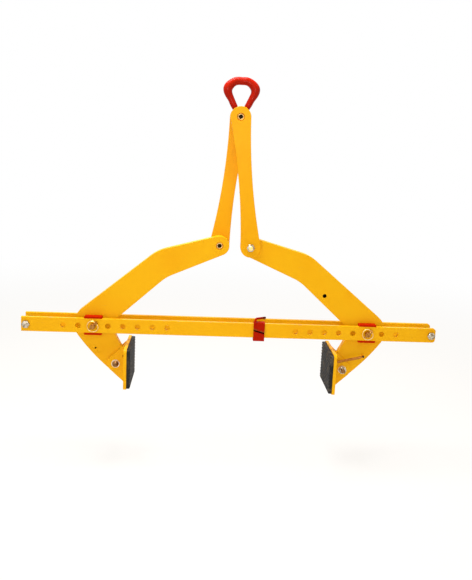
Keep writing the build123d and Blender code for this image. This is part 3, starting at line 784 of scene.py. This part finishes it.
# %% Cap screws
CAP = 24 * MM
CAP_HEIGHT = 7.5 * MM
CAP_EDGE = 1.0 * MM
SOCKET_FLATS = 14 * MM
SOCKET_DEPTH = 5.5 * MM
SOCKET_BEVEL = 0.6 * MM
SOCKET_RIM = 1.4 * MM
FACE_DROP = 0.1 * MM
CUP_WALL = 0.3 * MM
CUP_DROP = 0.8 * MM


def sunk(y_face, way, outline):
    """Rows from an outline that gives depths below a face, where way is 1 or -1 along Y."""
    return np.array(outline, float) * (way, 1, 1) + (y_face, 0, 0)


def cap_head(y_face, way):
    """Rows of a cap head from the middle of its socket's floor, out over its face, to its seat."""
    outline = [
        (SOCKET_DEPTH, 0, ROUND),
        (SOCKET_DEPTH, SOCKET_FLATS, SOCKET_FLATS),
        (SOCKET_BEVEL, SOCKET_FLATS, SOCKET_FLATS),
        (FACE_DROP, SOCKET_FLATS / 2 + SOCKET_RIM, ROUND),
        (DOME / 2, CAP / 2 - 2 * CAP_EDGE, ROUND),
        (DOME, CAP / 2 - CAP_EDGE, ROUND),
        (DOME + CAP_EDGE, CAP / 2, ROUND),
        (CAP_HEIGHT, CAP / 2, ROUND),
    ]
    return sunk(y_face, way, outline)


def shade_cup(centre, y_face, way):
    """A thin six-sided cup that lines a socket, as painted shade."""
    base = SOCKET_DEPTH - CUP_WALL / 4
    outer = SOCKET_FLATS - CUP_WALL / 2
    inner = SOCKET_FLATS - 2 * CUP_WALL
    outline = [
        (base, 0, ROUND),
        (base, SOCKET_FLATS, outer),
        (CUP_DROP, SOCKET_FLATS, outer),
        (CUP_DROP, SOCKET_FLATS, inner),
        (base - CUP_WALL, SOCKET_FLATS, inner),
        (base - CUP_WALL, 0, ROUND),
    ]
    return [turned(centre, sunk(y_face, way, outline))]


print("a cap head has", len(cap_head(0, 1)), "rows")

# %% Top bolt
top_front, top_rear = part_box("top_bolt")
top_nut_low, top_nut_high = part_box("top_nut")
top_screw = screw(top_pin, cap_head(top_front.y, 1), top_nut_low.y, top_rear.y)
add_piece("top_cap_screw", top_screw, "front_link", "zinc", ["top_bolt"], gold_zinc)
# the black cup in the socket is painted shade
add_piece("top_socket_shade", shade_cup(top_pin, top_front.y, 1), "front_link", "zinc", finish=hole_shade)
add_piece("top_hex_nut", [nut(top_pin, top_nut_low.y, top_nut_high.y)], "front_link", "zinc", ["top_nut"])

# %% Elbow bolts
LINK_OF = {"right": "front_link", "left": "rear_link"}

elbow_front, elbow_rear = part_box("right_elbow_bolt")
elbow_nut_low, elbow_nut_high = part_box("right_elbow_nut")
elbow_screw = screw(elbow, cap_head(elbow_rear.y, -1), elbow_nut_high.y, elbow_front.y)
elbow_shade_cup = shade_cup(elbow, elbow_rear.y, -1)
elbow_nut = [nut(elbow, elbow_nut_high.y, elbow_nut_low.y)]
for side, grids in both_sides(elbow_screw):
    add_piece(f"{side}_elbow_cap_screw", grids, LINK_OF[side], "zinc", [f"{side}_elbow_bolt"], gold_zinc)
for side, grids in both_sides(elbow_shade_cup):
    add_piece(f"{side}_elbow_socket_shade", grids, LINK_OF[side], "zinc", finish=hole_shade)
for side, grids in both_sides(elbow_nut):
    add_piece(f"{side}_elbow_hex_nut", grids, LINK_OF[side], "zinc", [f"{side}_elbow_nut"])

# %% [markdown]
# ## Tapped holes
#
# Each lever has a blind hole for a guiding handle's stud. A tapped hole shows fine turns of thread, and its
# dark inside is painted shade: the liner is near black. Bump on the hole's wall would leave its edge
# smooth, so a thin threaded liner goes in: up its outside, over the rim, and down its inside with the
# thread's rows.

# %% Threaded liners
LINER_WALL = 0.05 * MM
LINER_DROP = 0.4 * MM

hole = next(mount for mount in frame["record"]["mounts"] if mount["name"] == "right_handle_hole")
hole_radius = hole["dims"]["r_mm"] * MM
hole_depth = hole["dims"]["length_mm"] * MM
lever_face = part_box("right_lever")[0].y


def tapped_liner(centre, y_mouth, y_floor):
    """A blind liner about an axis along Y, threaded inside."""
    wall = hole_radius - LINER_WALL
    bore = 2 * hole_radius - 4 * LINER_WALL
    y_inner = y_floor - 4 * LINER_WALL
    outside = turned(centre, [(y_floor, 0, ROUND), (y_floor, wall, ROUND), (y_mouth, wall, ROUND)])
    inside = threaded(centre, bore, SCREW_PITCH, y_mouth + LINER_WALL, y_inner)
    pole = turned(centre, [(y_inner, 0, ROUND)])
    return [np.concatenate([outside, inside, pole])]


liner = tapped_liner(Vector(hole["pos_m"]), lever_face + LINER_DROP, lever_face + hole_depth - LINER_WALL)
# the liner's near-black finish is painted shade
for side, grids in both_sides(liner):
    add_piece(f"{side}_tapped_hole", grids, f"{side}_lever", "bright_steel", finish=hole_shade)

# %% [markdown]
# ## Jaw springs
#
# A tension spring runs from a post on the lever to a post on the jaw and draws the jaw back. Its wire
# leaves one post straight, winds up to the coil's radius, and ends straight in the other post. The Screw
# modifier can wind a coil but not those ends, so the centre line is a formula of one parameter, and a
# circle is carried along it.

# %% Wound wire
WIRE = 1.6 * MM
COIL = 9 * MM
SPRING_TURNS = 44
STEPS_PER_TURN = 30
SPRING_LEG = 4.5 * MM
SPRING_LEAD = 3 * MM
WIRE_AROUND = 12


def carried_circle(path, side, radius, around):
    """A tube: at each point of the path a circle, square to the path, turned from the side direction."""
    forward = np.gradient(path, axis=0)
    forward /= np.linalg.norm(forward, axis=1, keepdims=True)
    side = side - forward * np.sum(side * forward, axis=1, keepdims=True)
    side /= np.linalg.norm(side, axis=1, keepdims=True)
    other = np.cross(forward, side)
    angle = np.linspace(0, 2 * pi, around, endpoint=False)[None, :, None]
    wide = np.reshape(radius, (-1, 1, 1))
    return path[:, None] + wide * (np.cos(angle) * side[:, None] + np.sin(angle) * other[:, None])


def wound_spring(start, end):
    """A coil between two points.

    The wire turns at a steady rate between its straight legs, while its distance from the axis rises and
    falls as a smooth step at the ends.
    """
    start, end = np.array(start), np.array(end)
    length = np.linalg.norm(end - start)
    axis = (end - start) / length
    out = np.array([0.0, -1.0, 0.0])
    along = np.linspace(0, length, SPRING_TURNS * STEPS_PER_TURN + 1)
    reach = np.minimum(along, length - along) - SPRING_LEG
    rise = np.clip(reach / SPRING_LEAD, 0, 1)
    lift = (COIL - WIRE) / 2 * rise * rise * (3 - 2 * rise)
    wound = length - 2 * SPRING_LEG
    turn = 2 * pi * SPRING_TURNS * np.clip(along - SPRING_LEG, 0, wound) / wound
    radial = np.cos(turn)[:, None] * out + np.sin(turn)[:, None] * np.cross(axis, out)
    path = start + along[:, None] * axis + lift[:, None] * radial
    return [carried_circle(path, radial, WIRE / 2, WIRE_AROUND)]


def post_middle(node, y):
    """The middle of a spring post at a depth."""
    low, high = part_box(node)
    return Vector(((low.x + high.x) / 2, y, (low.z + high.z) / 2))


print("springs of", SPRING_TURNS, "turns of", WIRE / MM, "mm wire")

# %% Springs from lever to jaw
spring_low, spring_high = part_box("right_jaw_spring")
spring_y = (spring_low.y + spring_high.y) / 2
lever_end = post_middle("right_lever_spring_post", spring_y)
jaw_end = post_middle("right_jaw_spring_post", spring_y)
for side, grids in both_sides(wound_spring(lever_end, jaw_end)):
    spring = add_piece(f"{side}_wound_spring", grids, None, "spring_steel", [f"{side}_jaw_spring"])
    turn = 1 if side == "right" else -1
    first = Vector((turn * lever_end.x, turn * lever_end.y, lever_end.z))
    last = Vector((turn * jaw_end.x, turn * jaw_end.y, jaw_end.z))
    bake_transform(spring)

# %% [markdown]
# ## Rubber linings
#
# The jaws grip through ribbed rubber. The ribs run from front to rear, across the way the grip would
# slip. An Array modifier could repeat a rib, but its copies would still have to be merged. Here the
# outline of ribs is worked out once, in the upright plane, and carried from one side to the other with
# the last few millimetres drawn in as a bevel.

# %% Ribbed pads
RIB_PITCH = 11 * MM
RIB_DEPTH = 3 * MM
RIB_FLANK = 3.2
PAD_BEVEL = 2.5 * MM
PAD_ROWS = 241


def ribbed_pad(low, high):
    """A pad whose gripping face, on its low X side, has trapezium ribs, with bevelled ends along Y.

    The depth of a groove is a triangle wave along Z, made steeper and cut flat at 0 and at full depth.
    """
    height = high.z - low.z
    half_way = (low.z + high.z) / 2
    z = np.linspace(low.z, high.z, PAD_ROWS)
    wave = np.abs(((z - half_way) / RIB_PITCH) % 1 - 0.5) * 2
    groove = np.clip((0.5 - wave) * RIB_FLANK, 0, 1)
    from_edge = np.minimum(z - low.z, high.z - z)
    face = low.x + RIB_DEPTH * groove * (from_edge > RIB_PITCH / 2) + np.maximum(PAD_BEVEL - from_edge, 0)
    outline_x = np.concatenate([face, [high.x, high.x]])
    outline_z = np.concatenate([z, [high.z, low.z]])
    y = np.array([low.y, low.y + PAD_BEVEL, high.y - PAD_BEVEL, high.y])
    inset = np.array([PAD_BEVEL, 0, 0, PAD_BEVEL])[:, None]
    x = np.maximum(outline_x[None, :], np.minimum(low.x + inset, high.x))
    z_all = half_way + (outline_z - half_way)[None, :] * (1 - 2 * inset / height)
    return [np.stack([x, np.broadcast_to(y[:, None], x.shape), z_all], axis=-1)]


for side, grids in both_sides(ribbed_pad(*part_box("right_jaw_lining"))):
    add_piece(f"{side}_ribbed_pad", grids, f"{side}_jaw", "lining", [f"{side}_jaw_lining"])

# %% [markdown]
# ## Weld beads
#
# Each jaw is a backing plate with two cheeks welded on. A hand-laid bead is a row of overlapping ripples.
# Bump would show the ripples but leave the corner sharp, so the bead is a tube in the corner: its radius
# is a saw-tooth along its length, and it wanders a little. The beads are painted over.

# %% Beads along the cheeks
BEAD = 3.4 * MM
RIPPLE = 3.2 * MM
RIPPLE_FOOT = 0.86
RIPPLE_HEIGHT = 0.2
BEAD_END = 0.15
SWAY = 0.35 * MM
SHORT_SWAY = 9 * MM
LONG_SWAY = 23 * MM
BEAD_MARGIN = 4 * MM
BEAD_ROWS = 260
BEAD_AROUND = 14
CHEEK_INNER = 13.5 * MM
CHEEK_OUTER = 22.5 * MM
BACKING_PLATE = 10 * MM


def weld_bead(x, y, z_from, z_to, seed):
    """An upright bead: its radius saws once a ripple and tapers at the ends, and it sways by two sines."""
    z = np.linspace(z_from, z_to, BEAD_ROWS)
    saw = ((z - z_from) / RIPPLE + seed) % 1
    taper = np.clip(np.minimum(z - z_from, z_to - z) / (2 * BEAD), 0, 1) ** 0.5
    radius = BEAD * (RIPPLE_FOOT + RIPPLE_HEIGHT * saw) * (BEAD_END + (1 - BEAD_END) * taper)
    sway = SWAY * (np.sin(z / SHORT_SWAY + seed) + np.sin(z / LONG_SWAY + 2 * seed))
    path = np.stack([np.full_like(z, x) + sway, np.full_like(z, y) - sway, z], axis=1)
    return carried_circle(path, np.broadcast_to([1.0, 0, 0], path.shape), radius, BEAD_AROUND)


jaw_low, jaw_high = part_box("right_jaw")
bead_x = jaw_low.x + BACKING_PLATE
bead_ys = [-CHEEK_OUTER, -CHEEK_INNER, CHEEK_INNER, CHEEK_OUTER]
bead_from = jaw_low.z + BEAD_MARGIN
bead_to = jaw_high.z - BEAD_MARGIN
beads = [weld_bead(bead_x, y, bead_from, bead_to, seed) for seed, y in enumerate(bead_ys)]
for side, grids in both_sides(beads):
    add_piece(f"{side}_jaw_welds", grids, f"{side}_jaw", "yellow_paint")

# %% [markdown]
# ## Floor
#
# One large pale sheet well below the clamp, because the clamp hangs. A plain white sheet would end in a
# grey horizon, so a share of it glows white to the eye and in reflections, and the share grows with the
# distance until the floor meets the white world. Near the clamp it is also lit by the lamps and darkened
# by the clamp's shadow.

# %% Pale floor
FLOOR_DROP = 0.28
FLOOR_REACH = 60.0
FLOOR_PALE = (0.9, 0.9, 0.9, 1)
NEAR_GLOW = 0.72
FADE_FROM = 0.8
FADE_TO = 4.0

floor_z = cad_lowest.z - FLOOR_DROP
corners = np.array([(-1, -1), (1, -1), (1, 1), (-1, 1)]) * FLOOR_REACH
floor_mesh = bpy.data.meshes.new("floor")
floor_mesh.from_pydata(np.column_stack([corners, np.full(4, floor_z)]), [], [(0, 1, 2, 3)])
floor = bpy.data.objects.new("floor", floor_mesh)
bpy.context.scene.collection.objects.link(floor)
pale = Finish("pale_floor")
sideways = pale.node("ShaderNodeVectorMath", {"operation": "MULTIPLY"}, {0: pale.place, 1: (1, 1, 0)})
far = pale.node("ShaderNodeVectorMath", {"operation": "LENGTH"}, {0: sideways}, "Value")
glow = pale.ramp(far, FADE_FROM, FADE_TO) * (1 - NEAR_GLOW) + NEAR_GLOW
pale.wear({"Base Color": FLOOR_PALE, "Roughness": 0.9, "Specular IOR Level": 0.0})
lit = Signal(pale, pale.shader.outputs[0])
white = pale.node("ShaderNodeEmission", {}, {"Color": WHITE})
surface = pale.node("ShaderNodeMixShader", {}, {0: pale.watched() * glow, 1: lit, 2: white})
pale.plug(pale.tree.nodes["Material Output"], {"Surface": surface})
floor_mesh.materials.append(pale.material)
print("floor at z =", round(floor_z, 3))

# %% [markdown]
# ## Sizes
#
# A picture would hide a millimetre, so the CAD model's box is measured and printed.

# %% Measure the CAD box
print("CAD box", [round(v, 4) for v in cad_highest - cad_lowest])
